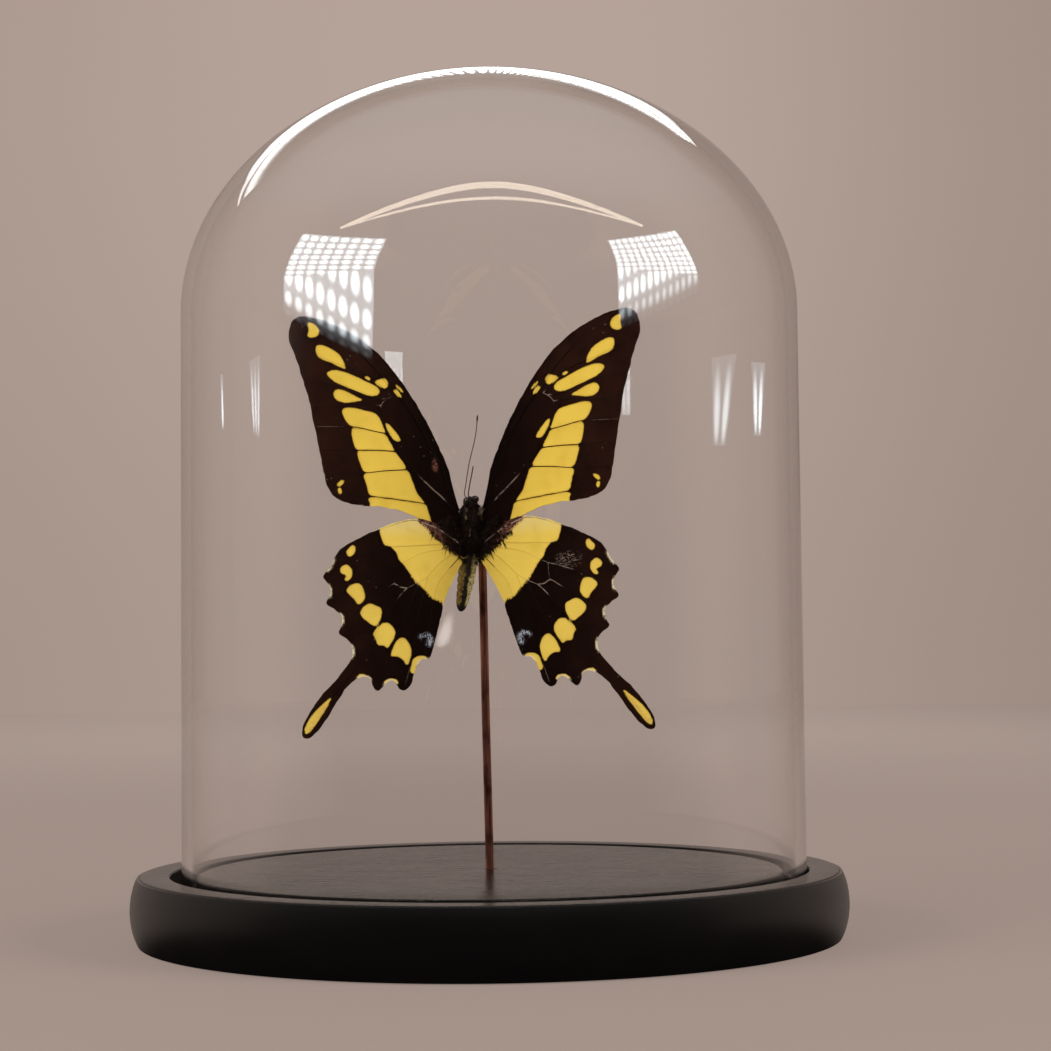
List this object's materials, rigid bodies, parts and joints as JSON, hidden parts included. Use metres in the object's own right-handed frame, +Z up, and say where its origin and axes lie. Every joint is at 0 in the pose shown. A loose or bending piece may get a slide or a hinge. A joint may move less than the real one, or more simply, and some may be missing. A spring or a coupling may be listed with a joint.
{
  "type": "insect in glass dome",
  "caption": "Swallowtail butterfly mounted on a thin rod under a round glass dome, on a turned black wooden base.",
  "frame": {"origin": "middle of the base's flat underside, where the display stands", "axes": "+Z up through the dome, -Y to the front where the butterfly's back shows, +X to the right"},
  "size_m": [0.172, 0.172, 0.2096],
  "materials": {
    "base_wood": "black stained and satin lacquered",
    "dome_glass": "clear blown glass",
    "rod_copper": "drawn copper-coloured wire rod",
    "body_hair": "dried insect body with dark hair and a yellow abdomen",
    "antenna_horn": "dried dark horn",
    "forewing_scales": "matt wing scales, black-brown with yellow bands",
    "hindwing_scales": "matt wing scales, black-brown with a yellow basal wedge and spots"
  },
  "bodies": {
    "root": {"base": "base_wood", "glass_dome": "dome_glass", "support_rod": "rod_copper", "body": "body_hair", "antenna_left": "antenna_horn", "antenna_right": "antenna_horn", "forewing_left": "forewing_scales", "forewing_right": "forewing_scales", "hindwing_left": "hindwing_scales", "hindwing_right": "hindwing_scales"}
  },
  "joints": []
}
